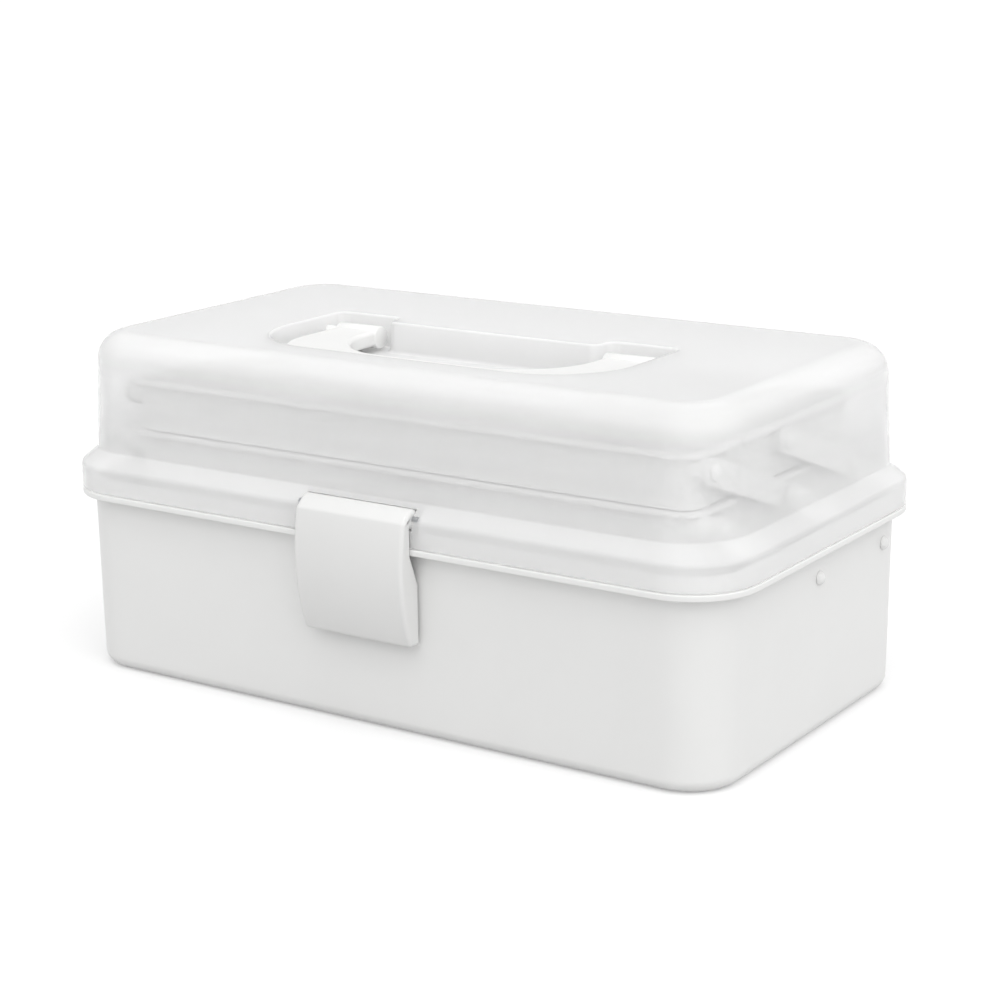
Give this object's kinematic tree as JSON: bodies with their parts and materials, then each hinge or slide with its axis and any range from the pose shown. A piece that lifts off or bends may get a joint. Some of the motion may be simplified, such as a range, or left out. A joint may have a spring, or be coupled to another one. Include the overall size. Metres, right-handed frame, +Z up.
{
  "type": "three-tier storage box",
  "caption": "White storage box with a clear hinged lid, folding top handle, front latch and cantilever trays that rise on parallel arms as the lid opens.",
  "frame": {"origin": "middle of the tub's flat underside, at table level", "axes": "+X along the length, -Y towards the latch, +Z up"},
  "size_m": [0.33, 0.2009, 0.1496],
  "materials": {
    "tub_white": "moulded, satin gloss",
    "tray_white": "moulded, satin gloss",
    "arm_white": "moulded, satin gloss",
    "latch_white": "moulded, fine satin",
    "handle_white": "moulded, satin gloss",
    "pin_white": "moulded, glossy",
    "pin_steel": "drawn wire",
    "lid_clear": "clear moulded, polished"
  },
  "bodies": {
    "base": {"base_tub": "tub_white", "base_pins_left": "pin_white", "base_pins_right": "pin_white", "hinge_pin_left": "pin_steel", "hinge_pin_right": "pin_steel"},
    "lid": {"lid_shell": "lid_clear", "handle_well": "lid_clear", "latch_pin": "pin_steel"},
    "latch": {"front_latch": "latch_white"},
    "handle": {"carry_handle": "handle_white"},
    "lower_tray": {"lower_tray": "tray_white", "lower_tray_pins_left": "pin_white", "lower_tray_pins_right": "pin_white"},
    "upper_tray": {"upper_tray": "tray_white", "upper_tray_pins_left": "pin_white", "upper_tray_pins_right": "pin_white"},
    "lower_front_arms": {"lower_front_arm_left": "arm_white", "lower_front_arm_right": "arm_white"},
    "lower_rear_arms": {"lower_rear_arm_left": "arm_white", "lower_rear_arm_right": "arm_white"},
    "upper_front_arms": {"upper_front_arm_left": "arm_white", "upper_front_arm_right": "arm_white"},
    "upper_rear_arms": {"upper_rear_arm_left": "arm_white", "upper_rear_arm_right": "arm_white"}
  },
  "joints": [
    {"name": "lid_hinge", "type": "hinge", "parent": "base", "child": "lid", "pos_m": [0, 0.097, 0.082], "axis": [-1, 0, 0], "range_deg": [0, 110]},
    {"name": "latch_hinge", "type": "hinge", "parent": "lid", "child": "latch", "pos_m": [0, -0.09095, 0.0933], "axis": [-1, 0, 0], "range_deg": [0, 100]},
    {"name": "handle_hinge", "type": "hinge", "parent": "lid", "child": "handle", "pos_m": [0, 0.005, 0.14205], "axis": [-1, 0, 0], "range_deg": [0, 90]},
    {"name": "lower_front_swing", "type": "hinge", "parent": "base", "child": "lower_front_arms", "pos_m": [0, 0, 0.067], "axis": [-1, 0, 0], "range_deg": [0, 42]},
    {"name": "lower_rear_swing", "type": "hinge", "parent": "base", "child": "lower_rear_arms", "pos_m": [0, 0.06, 0.067], "axis": [-1, 0, 0], "range_deg": [0, 42]},
    {"name": "lower_tray_level", "type": "hinge", "parent": "lower_rear_arms", "child": "lower_tray", "pos_m": [0, -0.002, 0.0992], "axis": [-1, 0, 0], "range_deg": [-42, 0]},
    {"name": "upper_front_swing", "type": "hinge", "parent": "lower_tray", "child": "upper_front_arms", "pos_m": [0, -0.002, 0.0992], "axis": [-1, 0, 0], "range_deg": [0, 42]},
    {"name": "upper_rear_swing", "type": "hinge", "parent": "lower_tray", "child": "upper_rear_arms", "pos_m": [0, 0.058, 0.0992], "axis": [-1, 0, 0], "range_deg": [0, 42]},
    {"name": "upper_tray_level", "type": "hinge", "parent": "upper_rear_arms", "child": "upper_tray", "pos_m": [0, -0.002, 0.1217], "axis": [-1, 0, 0], "range_deg": [-42, 0]}
  ],
  "couplings": [
    {"joint": "lower_front_swing", "follows": "lid_hinge", "ratio": 0.38},
    {"joint": "lower_rear_swing", "follows": "lid_hinge", "ratio": 0.38},
    {"joint": "lower_tray_level", "follows": "lid_hinge", "ratio": -0.38},
    {"joint": "upper_front_swing", "follows": "lid_hinge", "ratio": 0.38},
    {"joint": "upper_rear_swing", "follows": "lid_hinge", "ratio": 0.38},
    {"joint": "upper_tray_level", "follows": "lid_hinge", "ratio": -0.38}
  ]
}
